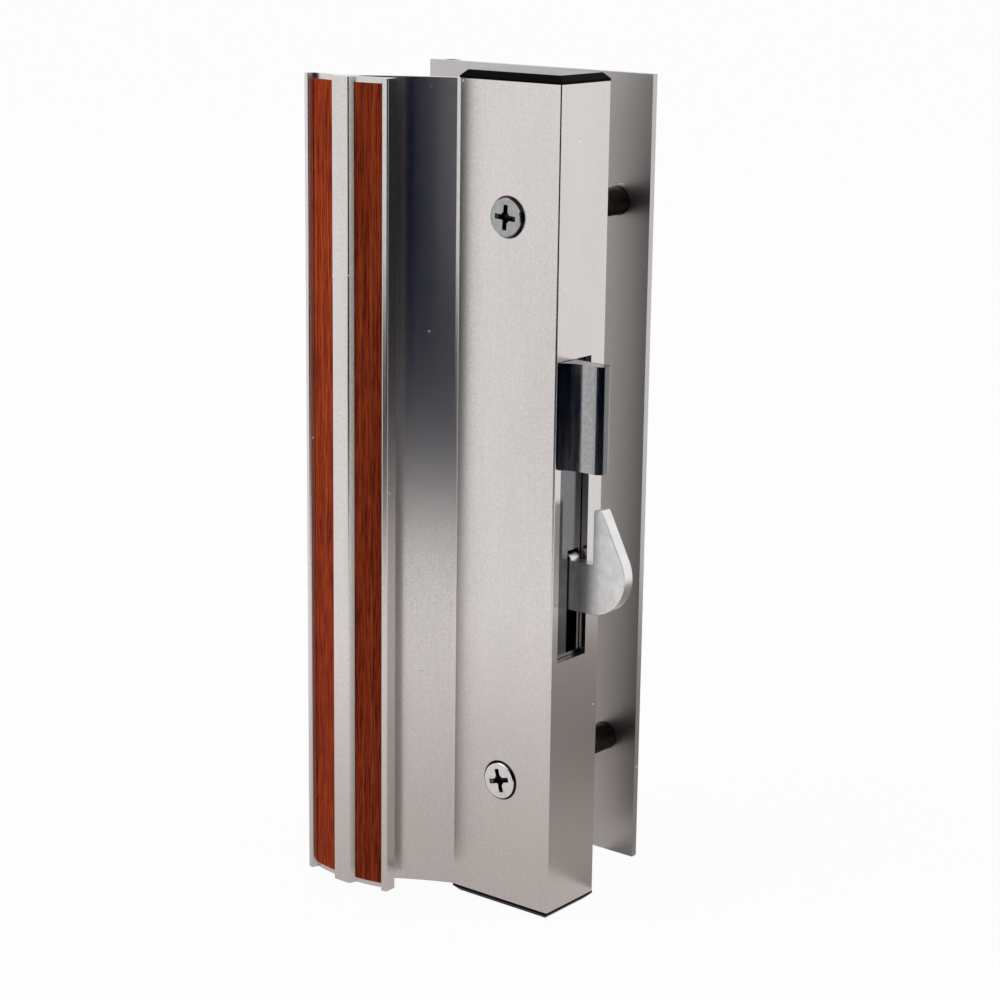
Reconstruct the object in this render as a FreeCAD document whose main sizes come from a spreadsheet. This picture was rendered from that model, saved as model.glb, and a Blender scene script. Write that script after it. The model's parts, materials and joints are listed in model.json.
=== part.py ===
import FreeCAD
import Part
import Sketcher
import math
import os

# Sliding patio door handle: extruded latch housing with a grip, a hook latch worked by a thumb tab,
# and an outside clamp plate. X runs from the grip towards the latch side, Y into the door, Z up.
# The origin lies on the housing's door plane, midway between the two screws.

os.makedirs("parts", exist_ok=True)
doc = FreeCAD.newDocument("PatioDoorHandle")

SIZES = [
    ("body_length", 181.8, "extrusion, end to end"),
    ("box_width", 27.0, "latch housing across X"),
    ("box_depth", 17.2, "latch housing, front face to door plane"),
    ("wall_thickness", 1.6, "housing walls"),
    ("lip_depth", 3.0, "rear lips, reach inwards from the side walls"),
    ("lip_thickness", 1.2, "rear lips along Y"),
    ("edge_round_radius", 0.4, "rounded long edges of the extrusion"),
    ("ridge_radius", 2.0, "rounded ridge between housing and web"),
    ("grip_reach_length", 20.1, "housing's grip side to the grip's middle"),
    ("grip_rise_height", 13.7, "housing's front face to the grip's channel floor"),
    ("grip_width", 23.8, "grip across X"),
    ("grip_radius", 37.0, "curve of the channel floor"),
    ("band_thickness", 1.3, "grip's band behind the channels"),
    ("rib_height", 1.7, "middle rib and lips above the floor"),
    ("rib_width", 4.6, "middle rib"),
    ("rim_width", 1.35, "lips along the grip's two edges"),
    ("channel_lean_width", 0.65, "channel walls' feet, out from under their tops"),
    ("web_thickness", 1.8, "web between housing and grip"),
    ("web_bow_depth", 0.8, "hollow of the web's front"),
    ("web_fillet_radius", 1.0, "rounded joints of web and grip"),
    ("insert_thickness", 0.35, "wood-grain strips"),
    ("insert_setback", 1.2, "strips end short of the extrusion"),
    ("insert_gap", 0.05, "strip to channel side"),
    ("cap_edge_height", 0.5, "end cap's straight rim"),
    ("cap_bevel_height", 1.3, "end cap's bevel"),
    ("cap_skirt_depth", 6.0, "end cap's skirt inside the housing"),
    ("cap_wall_thickness", 1.2, "skirt wall"),
    ("cap_gap", 0.05, "skirt to housing"),
    ("screw_spacing", 125.4, "between the two screws"),
    ("screw_head_diameter", 9.0, "head diameter at the housing's face"),
    ("screw_crown_diameter", 7.6, "flat top of the head"),
    ("screw_rise_height", 1.0, "head above the housing's face"),
    ("screw_cone_angle", 41.0, "countersink, degrees from the axis"),
    ("screw_shank_diameter", 4.8, "screw thread diameter"),
    ("screw_grip_length", 6.0, "thread engaged in the post"),
    ("screw_gap", 0.05, "screw to its holes"),
    ("recess_width", 1.1, "arm of the cross recess"),
    ("recess_span", 5.0, "cross recess, tip to tip"),
    ("recess_depth", 1.5, "cross recess"),
    ("post_diameter", 6.35, "threaded posts"),
    ("post_shoulder_depth", 0.175, "step from a post to its riveted tail"),
    ("post_relief_gap", 0.125, "post to the edge of its countersunk hole"),
    ("post_inset_depth", 0.5, "posts pass the door plane into the housing"),
    ("post_bore_depth", 8.0, "threaded hole's depth"),
    ("door_gap", 22.0, "door plane to the clamp plate"),
    ("plate_thickness", 1.6, "clamp plate"),
    ("plate_width", 63.3, "clamp plate across X"),
    ("plate_margin", 8.8, "screw line to the plate's latch edge"),
    ("bead_diameter", 4.6, "tube along the plate's pull edge"),
    ("bead_wall_thickness", 0.9, "tube wall"),
    ("bead_setback", 4.6, "plate's pull edge to the tube's middle"),
    ("slot_setback", 2.2, "front face to the slot"),
    ("slot_width", 10.1, "slot along Y"),
    ("slot_length", 66.6, "slot along Z"),
    ("slide_thickness", 1.5, "slide plate"),
    ("slide_gap", 0.2, "slide to its guides"),
    ("slide_travel", 8.0, "stroke of the slide"),
    ("slide_cover", 2.7, "slide stays this far past the slot's ends"),
    ("tab_height", 23.1, "thumb tab along Z"),
    ("tab_reach_length", 10.3, "thumb tab beyond the housing's side"),
    ("tab_thickness", 3.7, "thumb tab along Y"),
    ("tab_gap", 0.3, "tab to the slot's front"),
    ("stop_gap", 0.1, "tab to the slot's upper end, its stop"),
    ("tab_fillet_radius", 1.2, "bend at the tab's root"),
    ("flare_length", 5.0, "hollow flare before the tab's root, along X"),
    ("flare_depth", 1.8, "hollow flare before the tab's root, along Y"),
    ("rail_thickness", 1.0, "low rail under the tab"),
    ("rail_drop", 20.2, "rail below the tab"),
    ("rail_inset", 0.2, "rail below the housing's side face"),
    ("window_rise", 0.8, "slide's window above the slot's lower end"),
    ("window_gap", 0.4, "window to the hook's two faces"),
    ("window_lead", 0.8, "window's top above the hook's cam nub"),
    ("hook_thickness", 3.0, "hook plate"),
    ("hook_setback", 8.0, "front face to the hook"),
    ("hook_neck_height", 11.1, "hook's arm along Z"),
    ("hook_nose_radius", 8.9, "round of the hook's nose"),
    ("hook_drop", 13.75, "nose centre below the middle"),
    ("hook_reach", 4.3, "nose centre beyond the housing's side"),
    ("hook_slope_angle", 27.0, "beak's outer edge, degrees"),
    ("hook_tip_height", 14.65, "beak's tip above the nose centre"),
    ("hook_throat_width", 4.75, "housing's side to the beak"),
    ("nub_radius", 1.35, "cam nub under the window's top"),
    ("arm_gap", 0.75, "hook's round end to the case"),
    ("pin_diameter", 4.0, "hook's pivot"),
    ("pin_gap", 0.05, "pivot to the hook's bore"),
    ("pin_rivet_diameter", 3.0, "pin's riveted tail"),
    ("pin_nose_length", 0.8, "pin beyond its clip"),
    ("hook_gap", 0.1, "hook to the collar and washer"),
    ("washer_diameter", 8.4, "washer before the hook"),
    ("washer_thickness", 0.6, "washer before the hook"),
    ("clip_diameter", 7.4, "retaining clip"),
    ("clip_thickness", 0.7, "retaining clip"),
    ("clip_groove_depth", 0.5, "groove depth in the pin"),
    ("clip_mouth_width", 2.6, "opening of the clip"),
    ("case_thickness", 1.5, "latch case sheet"),
    ("case_margin", 7.3, "case's base beyond the screws"),
    ("flange_length", 104.0, "case's two flanges along Z"),
    ("case_gap", 0.1, "case to the housing"),
    ("case_bend_radius", 1.2, "outer round of the case's bends"),
    ("spring_wire_diameter", 1.0, "spring wire diameter"),
    ("spring_gap", 0.2, "spring to the pin's collar"),
    ("leg_gap", 2.5, "spring's legs to the case's flange"),
    ("spring_margin", 0.6, "hook's edge to the spring's hole"),
    ("spring_bend_radius", 1.0, "bend of the spring's upper end"),
    ("spring_hole_diameter", 1.5, "hole in the hook for the spring"),
    ("ledge_width", 4.0, "case's ledge under the spring"),
]

sheet = doc.addObject("Spreadsheet::Sheet", "Sizes")
for row, (alias, value, note) in enumerate(SIZES, start=1):
    sheet.set("A%d" % row, note)
    sheet.set("B%d" % row, str(value))
    sheet.setAlias("B%d" % row, alias)
doc.recompute()


class Size:
    """A length with the expression that keeps it tied to the sheet."""

    def __init__(self, value, text):
        self.value = float(value)
        self.text = text

    def __add__(self, other):
        other = as_size(other)
        return Size(self.value + other.value, "(%s + %s)" % (self.text, other.text))

    def __sub__(self, other):
        other = as_size(other)
        return Size(self.value - other.value, "(%s - %s)" % (self.text, other.text))

    def __mul__(self, other):
        other = as_size(other)
        return Size(self.value * other.value, "(%s * %s)" % (self.text, other.text))

    def __truediv__(self, other):
        other = as_size(other)
        return Size(self.value / other.value, "(%s / %s)" % (self.text, other.text))

    def __neg__(self):
        return Size(-self.value, "(0 - %s)" % self.text)


def as_size(number):
    return number if isinstance(number, Size) else Size(number, "%.6f" % number)


def root(size):
    return Size(math.sqrt(size.value), "sqrt(%s)" % size.text)


def sine(angle):
    return Size(math.sin(math.radians(angle.value)), "sin(%s)" % angle.text)


def cosine(angle):
    return Size(math.cos(math.radians(angle.value)), "cos(%s)" % angle.text)


S = {alias: Size(value, "Sizes.%s" % alias) for alias, value, note in SIZES}
ZERO = as_size(0.0)


def bind(item, prop, size):
    item.setExpression(prop, size.text)


def new_sketch(body, name, plane, start):
    """An empty sketch on one of the body's own origin planes, moved along that plane's world axis."""
    sketch = body.newObject("Sketcher::SketchObject", name)
    origin_plane = [item for item in body.Origin.OriginFeatures if item.Role == plane + "_Plane"][0]
    sketch.AttachmentSupport = (origin_plane, [""])
    sketch.MapMode = "FlatFace"
    bind(sketch, "AttachmentOffset.Base.z", -start if plane == "XZ" else start)
    return sketch


def draw_outline(sketch, corners):
    """A closed outline. Each corner is (x, y) or (x, y, radius, turn): the last two make the edge that
    leaves it an arc, turn 1 anticlockwise and -1 clockwise."""
    edges, ends = [], []
    for index, corner in enumerate(corners):
        follower = corners[(index + 1) % len(corners)]
        a = FreeCAD.Vector(corner[0].value, corner[1].value, 0)
        b = FreeCAD.Vector(follower[0].value, follower[1].value, 0)
        if len(corner) == 2:
            edges.append(Part.LineSegment(a, b))
            ends.append((1, 2))
            continue
        radius, turn = corner[2].value, corner[3]
        chord = b.sub(a)
        rise = math.sqrt(max(radius ** 2 - chord.Length ** 2 / 4, 0.0))
        left = FreeCAD.Vector(-chord.y, chord.x, 0).normalize()
        centre = a.add(b).multiply(0.5).add(left.multiply(rise * turn))
        first, last = (a, b) if turn > 0 else (b, a)
        low = math.atan2(first.y - centre.y, first.x - centre.x)
        high = math.atan2(last.y - centre.y, last.x - centre.x)
        circle = Part.Circle(centre, FreeCAD.Vector(0, 0, 1), radius)
        edges.append(Part.ArcOfCircle(circle, low, high if high > low else high + 2 * math.pi))
        ends.append((1, 2) if turn > 0 else (2, 1))
    base = sketch.GeometryCount
    sketch.addGeometry(edges, False)
    rules, sizes = [], []
    for index, corner in enumerate(corners):
        later = (index + 1) % len(corners)
        joined = (base + index, ends[index][1], base + later, ends[later][0])
        rules.append(Sketcher.Constraint("Coincident", *joined))
        sizes.append(None)
        for kind, size in (("DistanceX", corner[0]), ("DistanceY", corner[1])):
            rules.append(Sketcher.Constraint(kind, -1, 1, base + index, ends[index][0], size.value))
            sizes.append(size)
        if len(corner) == 4:
            rules.append(Sketcher.Constraint("Radius", base + index, corner[2].value))
            sizes.append(corner[2])
    set_rules(sketch, rules, sizes)


def draw_circle(sketch, x, y, radius):
    centre = FreeCAD.Vector(x.value, y.value, 0)
    index = sketch.addGeometry(Part.Circle(centre, FreeCAD.Vector(0, 0, 1), radius.value), False)
    rules = [
        Sketcher.Constraint("DistanceX", -1, 1, index, 3, x.value),
        Sketcher.Constraint("DistanceY", -1, 1, index, 3, y.value),
        Sketcher.Constraint("Radius", index, radius.value),
    ]
    set_rules(sketch, rules, [x, y, radius])


def set_rules(sketch, rules, sizes):
    first = sketch.ConstraintCount
    sketch.addConstraint(rules)
    for offset, size in enumerate(sizes):
        if size is not None:
            bind(sketch, "Constraints[%d]" % (first + offset), size)


def rectangle(x0, y0, x1, y1):
    return [(x0, y0), (x1, y0), (x1, y1), (x0, y1)]


class Piece:
    """One PartDesign body, built from pads, pockets and revolutions between two world coordinates."""

    def __init__(self, label):
        self.body = doc.addObject("PartDesign::Body", label)
        self.body.Label = label
        self.count = 0

    def shape(self, outlines, circles, plane, start):
        self.count += 1
        sketch = new_sketch(self.body, "%s_sketch_%d" % (self.body.Name, self.count), plane, start)
        for corners in outlines:
            draw_outline(sketch, corners)
        for x, y, radius in circles:
            draw_circle(sketch, x, y, radius)
        return sketch

    def pad(self, plane, start, end, outlines=(), circles=()):
        sketch = self.shape(outlines, circles, plane, start)
        pad = self.body.newObject("PartDesign::Pad", "%s_pad_%d" % (self.body.Name, self.count))
        pad.Profile = sketch
        pad.Reversed = plane == "XZ"
        bind(pad, "Length", end - start)
        return self.settle(pad)

    def pocket(self, plane, start, end, outlines=(), circles=()):
        before = self.body.Shape.Volume
        sketch = self.shape(outlines, circles, plane, start)
        pocket = self.body.newObject("PartDesign::Pocket", "%s_pocket_%d" % (self.body.Name, self.count))
        pocket.Profile = sketch
        pocket.Reversed = plane != "XZ"
        bind(pocket, "Length", end - start)
        self.settle(pocket)
        if self.body.Shape.Volume > before - 0.01:
            raise RuntimeError("%s removes nothing" % pocket.Name)
        return pocket

    def revolve(self, x, z, outline, cut=False):
        """A half profile of (radius, y) corners, turned about the Y direction at x, z."""
        sketch = self.shape([outline], [], "XY", z)
        bind(sketch, "AttachmentOffset.Base.x", x)
        kind = "Groove" if cut else "Revolution"
        turned = self.body.newObject("PartDesign::" + kind, "%s_turned_%d" % (self.body.Name, self.count))
        turned.Profile = sketch
        turned.ReferenceAxis = (sketch, ["V_Axis"])
        turned.Angle = 360.0
        return self.settle(turned)

    def round_edges(self, radius, wanted, kind="Fillet", prop="Radius"):
        base = self.body.Tip
        names = ["Edge%d" % number for number, edge in enumerate(base.Shape.Edges, start=1) if wanted(edge)]
        if not names:
            raise RuntimeError("%s: no edge to round" % self.body.Label)
        self.count += 1
        feature = self.body.newObject("PartDesign::" + kind, "%s_edge_%d" % (self.body.Name, self.count))
        feature.Base = (base, names)
        bind(feature, prop, radius)
        return self.settle(feature)

    def settle(self, feature):
        doc.recompute()
        if "Invalid" in feature.State or "Error" in feature.State or feature.Shape.isNull():
            raise RuntimeError("%s failed: %s" % (feature.Name, feature.State))
        return feature


def along(axis, *places, near=0.02):
    """Chooses the straight edges along an axis that pass through one of the given points."""
    unit = {"X": FreeCAD.Vector(1, 0, 0), "Y": FreeCAD.Vector(0, 1, 0), "Z": FreeCAD.Vector(0, 0, 1)}[axis]

    def wanted(edge):
        if edge.Curve.TypeId != "Part::GeomLine":
            return False
        if abs(edge.tangentAt(edge.FirstParameter).dot(unit)) < 0.999:
            return False
        middle = edge.valueAt((edge.FirstParameter + edge.LastParameter) / 2)
        flat = middle.sub(FreeCAD.Vector(unit).multiply(middle.dot(unit)))
        for a, b in places:
            a, b = a.value, b.value
            spots = {"X": (0, a, b), "Y": (a, 0, b), "Z": (a, b, 0)}
            place = FreeCAD.Vector(*spots[axis])
            if flat.sub(place).Length < near:
                return True
        return False

    return wanted


def mirrored(label, source, axis, place=None):
    mirror = doc.addObject("Part::Mirroring", label)
    mirror.Label = label
    mirror.Source = source
    mirror.Normal = {"X": FreeCAD.Vector(1, 0, 0), "Z": FreeCAD.Vector(0, 0, 1)}[axis]
    if place is not None:
        bind(mirror, "Base.x", place)
    return mirror


def group(label, members):
    compound = doc.addObject("Part::Compound", label)
    compound.Label = label
    compound.Links = members
    return compound


# Planes and lines that several pieces share.
half = S["box_width"] / 2
wall = S["wall_thickness"]
front = -S["box_depth"]
inner = half - wall
front_inner = front + wall
top = S["body_length"] / 2
screw_z = S["screw_spacing"] / 2
lip_front = -S["lip_thickness"]
lip_edge = inner - S["lip_depth"]
slot_front = front + S["slot_setback"]
slot_rear = slot_front + S["slot_width"]
slot_top = S["slot_length"] / 2
slide_outer = inner - S["slide_gap"]
slide_inner = slide_outer - S["slide_thickness"]
hook_front = front + S["hook_setback"]
hook_rear = hook_front + S["hook_thickness"]
nose_x = half + S["hook_reach"]
nose_z = -S["hook_drop"]
neck_bottom = nose_z - S["hook_nose_radius"]
neck_top = neck_bottom + S["hook_neck_height"]
pivot_z = neck_bottom + S["hook_neck_height"] / 2
case_left = -inner + S["case_gap"]
pivot_x = case_left + S["case_thickness"] + S["arm_gap"] + S["hook_neck_height"] / 2
flange_outer = slide_inner - S["slide_gap"]
flange_inner = flange_outer - S["case_thickness"]
base_rear = lip_front - S["case_gap"] / 2
base_front = base_rear - S["case_thickness"]
plate_front = S["door_gap"]
plate_rear = plate_front + S["plate_thickness"]
grip_x = -half - S["grip_reach_length"]
grip_y = front - S["grip_rise_height"]
grip_centre = grip_y + S["grip_radius"]
rim_outer = S["grip_width"] / 2
rim_inner = rim_outer - S["rim_width"]
rib_half = S["rib_width"] / 2
rim_foot, rib_foot = rim_inner - S["channel_lean_width"], rib_half + S["channel_lean_width"]
rib_radius = S["grip_radius"] + S["rib_height"]
back_radius = S["grip_radius"] - S["band_thickness"]


def on_grip(offset, radius):
    """The point of a grip curve at a distance along X from the grip's middle."""
    return (grip_x + offset, grip_centre - root(radius * radius - offset * offset))


# Handle body: housing open to the door, with a lip along each rear edge.
handle = Piece("handle_body")
handle.pad("XY", -top, top, [[
    (-half, front), (half, front), (half, ZERO), (lip_edge, ZERO), (lip_edge, lip_front), (inner, lip_front),
    (inner, front_inner), (-inner, front_inner), (-inner, lip_front), (-lip_edge, lip_front),
    (-lip_edge, ZERO), (-half, ZERO),
]])

# Grip: a curved band with two lips and a middle rib that bound the two channels, whose walls lean.
floor, rib, back = S["grip_radius"], rib_radius, back_radius
handle.pad("XY", -top, top, [[
    on_grip(-rim_outer, rib) + (rib, 1), on_grip(-rim_inner, rib), on_grip(-rim_foot, floor) + (floor, 1),
    on_grip(-rib_foot, floor), on_grip(-rib_half, rib) + (rib, 1), on_grip(rib_half, rib),
    on_grip(rib_foot, floor) + (floor, 1), on_grip(rim_foot, floor), on_grip(rim_inner, rib) + (rib, 1),
    on_grip(rim_outer, rib), on_grip(rim_outer, back) + (back, -1), on_grip(-rim_outer, back),
]])

# Web: from the housing's front edge to the middle of the grip's back, slightly hollow in front.
back_y = grip_y + S["band_thickness"]
run_x, run_y = grip_x + half, back_y - front
chord = root(run_x * run_x + run_y * run_y)
along_x, along_y = run_x / chord, run_y / chord
aside_x, aside_y = along_y, -along_x
web_radius = chord * chord / (S["web_bow_depth"] * 8) + S["web_bow_depth"] / 2
depth_x, depth_y = aside_x * S["web_thickness"], aside_y * S["web_thickness"]
root_x, root_y = along_x * wall * 0.9, along_y * wall * 0.9
spread = depth_y / along_y
sink = S["band_thickness"] / 2
handle.pad("XY", -top, top, [[
    (-half - root_x, front - root_y), (-half + depth_x - root_x, front + depth_y - root_y),
    (-half + depth_x, front + depth_y, web_radius, 1), (grip_x + depth_x, back_y + depth_y),
    (grip_x + depth_x - along_x * spread, back_y), (grip_x + depth_x - along_x * spread, back_y - sink),
    (grip_x, back_y - sink), (grip_x, back_y, web_radius, -1), (-half, front),
]])

web_joints = [(grip_x, back_y), (grip_x + depth_x - along_x * spread, back_y)]
handle.round_edges(S["web_fillet_radius"], along("Z", *web_joints, near=0.6))
handle.round_edges(S["ridge_radius"], along("Z", (-half, front)))
handle.round_edges(S["edge_round_radius"], along(
    "Z", (half, front), (half, ZERO), (-half, ZERO),
    on_grip(-rim_outer, rib), on_grip(rim_outer, rib), on_grip(-rim_outer, back), on_grip(rim_outer, back),
    on_grip(-rib_half, rib), on_grip(rib_half, rib), on_grip(-rim_inner, rib), on_grip(rim_inner, rib)))

# Slot in the latch side, and a countersunk hole for each screw in the front wall.
handle.pocket("YZ", inner - wall, half + wall, [rectangle(slot_front, -slot_top, slot_rear, slot_top)])
flare = sine(S["screw_cone_angle"]) / cosine(S["screw_cone_angle"])
seat = S["screw_head_diameter"] / 2 + S["screw_gap"]
for z in (screw_z, -screw_z):
    handle.revolve(ZERO, z, [
        (ZERO, front - wall / 2), (seat + flare * wall / 2, front - wall / 2),
        (seat - flare * wall * 1.5, front_inner + wall / 2), (ZERO, front_inner + wall / 2),
    ], cut=True)

# Wood-grain strips, lying on the channel floors.
insert_front = S["grip_radius"] + S["insert_thickness"]
insert_far, insert_near = rim_foot - S["insert_gap"], rib_foot + S["insert_gap"]
strip_end = top - S["insert_setback"]
left_insert = Piece("left_grip_insert")
left_insert.pad("XY", -strip_end, strip_end, [[
    on_grip(-insert_far, insert_front) + (insert_front, 1), on_grip(-insert_near, insert_front),
    on_grip(-insert_near, floor) + (floor, -1), on_grip(-insert_far, floor),
]])
right_insert = mirrored("right_grip_insert", left_insert.body, "X", grip_x)

# End caps: a bevelled lid with a hollow skirt that plugs the housing.
cap = Piece("top_end_cap")
cap_top = top + S["cap_edge_height"] + S["cap_bevel_height"]
cap.pad("XY", top, cap_top, [rectangle(-half, front, half, ZERO)])


def cap_rim(edge):
    return abs(edge.BoundBox.ZMin - cap_top.value) < 0.01


cap.round_edges(S["cap_bevel_height"] * 0.99, cap_rim, "Chamfer", "Size")
skirt_x = inner - S["cap_gap"]
skirt_front, skirt_rear = front_inner + S["cap_gap"], lip_front - S["cap_gap"]
cap.pad("XY", top - S["cap_skirt_depth"], top, [
    rectangle(-skirt_x, skirt_front, skirt_x, skirt_rear),
    rectangle(-skirt_x + S["cap_wall_thickness"], skirt_front + S["cap_wall_thickness"],
              skirt_x - S["cap_wall_thickness"], skirt_rear - S["cap_wall_thickness"]),
])
bottom_cap = mirrored("bottom_end_cap", cap.body, "Z")

# Mounting screws: raised countersunk heads with a cross recess.
crown = front - S["screw_rise_height"]
crown_radius, head = S["screw_crown_diameter"] / 2, S["screw_head_diameter"] / 2
shank = S["screw_shank_diameter"] / 2
post_front = -S["post_inset_depth"]
screw_end = post_front + S["screw_grip_length"]
screw = Piece("upper_mounting_screw")
screw.revolve(ZERO, screw_z, [
    (ZERO, crown), (crown_radius, crown, S["screw_rise_height"] * 1.1, 1), (head, front),
    (shank, front + (head - shank) / flare), (shank, screw_end - shank / 3),
    (shank * 0.6, screw_end), (ZERO, screw_end),
])
arm, tip = S["recess_width"] / 2, S["recess_span"] / 2
screw.pocket("XZ", crown, crown + S["recess_depth"], [[
    (arm, screw_z + arm), (arm, screw_z + tip), (-arm, screw_z + tip), (-arm, screw_z + arm),
    (-tip, screw_z + arm), (-tip, screw_z - arm), (-arm, screw_z - arm), (-arm, screw_z - tip),
    (arm, screw_z - tip), (arm, screw_z - arm), (tip, screw_z - arm), (tip, screw_z + arm),
]])
screws = group("mounting_screws", [screw.body, mirrored("lower_mounting_screw", screw.body, "Z")])

# Clamp plate with a tube along its pull edge, and the threaded posts riveted into it.
plate_left = S["plate_margin"] - S["plate_width"]
bead_x, bead_y = plate_left + S["bead_setback"], plate_front + S["bead_diameter"] / 2
plate = Piece("clamp_plate")
plate.pad("XY", -top, top, [rectangle(plate_left, plate_front, S["plate_margin"], plate_rear)])
plate.pad("XY", -top, top, circles=[(bead_x, bead_y, S["bead_diameter"] / 2)])
plate.pocket("XY", -top, top, circles=[(bead_x, bead_y, S["bead_diameter"] / 2 - S["bead_wall_thickness"])])
post_radius = S["post_diameter"] / 2
tail = post_radius - S["post_shoulder_depth"]
plate.pocket("XZ", plate_front, plate_rear, circles=[(ZERO, screw_z, tail), (ZERO, -screw_z, tail)])


def post_hole_edge(edge):
    if edge.Curve.TypeId != "Part::GeomCircle":
        return False
    return abs(edge.Curve.Radius - tail.value) < 0.01 and abs(edge.BoundBox.YMax - plate_front.value) < 0.01


plate.round_edges(S["post_shoulder_depth"] + S["post_relief_gap"], post_hole_edge, "Chamfer", "Size")
bore, bore_end = shank + S["screw_gap"], post_front + S["post_bore_depth"]
post = Piece("upper_clamp_post")
post.revolve(ZERO, screw_z, [
    (bore, post_front), (post_radius, post_front), (post_radius, plate_front), (tail, plate_front),
    (tail, plate_rear), (ZERO, plate_rear), (ZERO, bore_end), (bore, bore_end),
])
posts = group("clamp_posts", [post.body, mirrored("lower_clamp_post", post.body, "Z")])

# Thumb slide: a plate behind the slot, with the tab and its rail standing out through the slot.
tab_front = slot_front + S["tab_gap"]
tab_rear = tab_front + S["tab_thickness"]
tab_top = slot_top - S["stop_gap"]
tab_bottom = tab_top - S["tab_height"]
tab_end = half + S["tab_reach_length"]
nub_x = slide_outer - S["slide_thickness"] / 2
window_top = neck_top + S["nub_radius"] + S["window_lead"]
slide = Piece("thumb_slide")
slide.pad("YZ", slide_inner, slide_outer, [
    rectangle(front_inner + S["slide_gap"], -slot_top - S["slide_cover"],
              lip_front - S["slide_gap"], slot_top + S["slide_travel"] + S["slide_cover"]),
    rectangle(hook_front - S["window_gap"], S["window_rise"] - slot_top,
              hook_rear + S["window_gap"], window_top),
])
slide.pad("XZ", tab_front, tab_rear, [rectangle(slide_inner, tab_bottom, tab_end, tab_top)])
slide.round_edges(S["tab_thickness"] * 0.46, along("Z", (tab_end, tab_front), (tab_end, tab_rear)))
slide.round_edges(S["tab_fillet_radius"], along("Z", (slide_outer, tab_rear)))
flare_near, flare_far = half + S["slide_gap"], half + S["slide_gap"] + S["flare_length"]
flare_radius = (S["flare_length"] * S["flare_length"] / S["flare_depth"] + S["flare_depth"]) / 2
slide.pad("XY", tab_bottom, tab_top, [[
    (flare_near, tab_front - S["flare_depth"], flare_radius, -1), (flare_far, tab_front),
    (flare_far, tab_front + S["tab_thickness"] / 2), (flare_near, tab_front + S["tab_thickness"] / 2),
]])
slide.pad("XZ", tab_front, tab_front + S["rail_thickness"], [
    rectangle(slide_inner, tab_bottom - S["rail_drop"], half - S["rail_inset"], tab_bottom + S["tab_gap"]),
])

# Latch hook: an arm round the pivot, a cam nub under the slide's window, and an upward beak.
nose = S["hook_nose_radius"]
touch_x, touch_z = nose_x + nose * cosine(S["hook_slope_angle"]), nose_z + nose * sine(S["hook_slope_angle"])
tip_z = nose_z + S["hook_tip_height"]
tip_x = touch_x - (tip_z - touch_z) * sine(S["hook_slope_angle"]) / cosine(S["hook_slope_angle"])
beak_x = half + S["hook_throat_width"]
arm_end, nub = S["hook_neck_height"] / 2, S["nub_radius"]
spring_hole = S["spring_hole_diameter"] / 2
coil = arm_end - S["spring_margin"] - spring_hole
leg_end = flange_inner - S["leg_gap"]
hook = Piece("latch_hook")
hook.pad("XZ", hook_front, hook_rear, [[
    (pivot_x, neck_bottom), (nose_x, neck_bottom, nose, 1), (touch_x, touch_z), (tip_x, tip_z),
    (beak_x, tip_z), (beak_x, neck_top), (nub_x + nub, neck_top, nub, 1), (nub_x, neck_top + nub, nub, 1),
    (nub_x - nub, neck_top), (pivot_x, neck_top, arm_end, 1), (pivot_x - arm_end, pivot_z, arm_end, 1),
]], [(pivot_x, pivot_z, S["pin_diameter"] / 2 + S["pin_gap"]), (leg_end, pivot_z + coil, spring_hole)])
hook.round_edges((tip_x - beak_x) * 0.43, along("Y", (tip_x, tip_z), (beak_x, tip_z)))

# Pivot pin, riveted into the case, with a washer and a clip before the hook.
collar_front = hook_rear + S["hook_gap"]
washer_rear = hook_front - S["hook_gap"]
clip_rear = washer_rear - S["washer_thickness"]
clip_front = clip_rear - S["clip_thickness"]
pin_front = clip_front - S["pin_nose_length"]
pin_radius = S["pin_diameter"] / 2
collar = coil - S["spring_wire_diameter"] / 2 - S["spring_gap"]
groove = pin_radius - S["clip_groove_depth"]
pin = Piece("hook_pivot_pin")
pin.revolve(pivot_x, pivot_z, [
    (ZERO, base_rear), (ZERO, pin_front), (pin_radius, pin_front), (pin_radius, clip_front),
    (groove, clip_front), (groove, clip_rear), (pin_radius, clip_rear),
    (pin_radius, collar_front), (collar, collar_front), (collar, base_front),
    (S["pin_rivet_diameter"] / 2, base_front), (S["pin_rivet_diameter"] / 2, base_rear),
])
washer = Piece("hook_washer")
washer.pad("XZ", clip_rear, washer_rear, circles=[
    (pivot_x, pivot_z, S["washer_diameter"] / 2), (pivot_x, pivot_z, pin_radius + S["pin_gap"]),
])
clip = Piece("hook_retaining_clip")
mouth = S["clip_mouth_width"] / 2
clip.pad("XZ", clip_front, clip_rear, circles=[
    (pivot_x, pivot_z, S["clip_diameter"] / 2), (pivot_x, pivot_z, groove),
])
clip.pocket("XZ", clip_front, clip_rear, [
    rectangle(pivot_x - mouth, pivot_z, pivot_x + mouth, pivot_z + S["clip_diameter"]),
])

# Latch case: a folded channel between the housing's front wall and its rear lips.
flange_z, base_z = S["flange_length"] / 2, screw_z + S["case_margin"]
flange_front = front_inner + S["case_gap"]
spring_y = (base_front + collar_front) / 2
ledge_top = pivot_z - coil - S["spring_wire_diameter"] / 2
case = Piece("latch_case")
case.pad("XZ", base_front, base_rear, [rectangle(case_left, -base_z, flange_outer, base_z)], [
    (ZERO, screw_z, bore), (ZERO, -screw_z, bore), (pivot_x, pivot_z, S["pin_rivet_diameter"] / 2),
])
case.pad("YZ", flange_inner, flange_outer, [
    rectangle(flange_front, -flange_z, base_rear, flange_z),
    rectangle(hook_front - S["window_gap"] * 2, -slot_top,
              hook_rear + S["window_gap"] * 2, window_top + S["window_lead"]),
])
case.pad("YZ", case_left, case_left + S["case_thickness"], [
    rectangle(flange_front, -flange_z, base_rear, flange_z),
])
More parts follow.
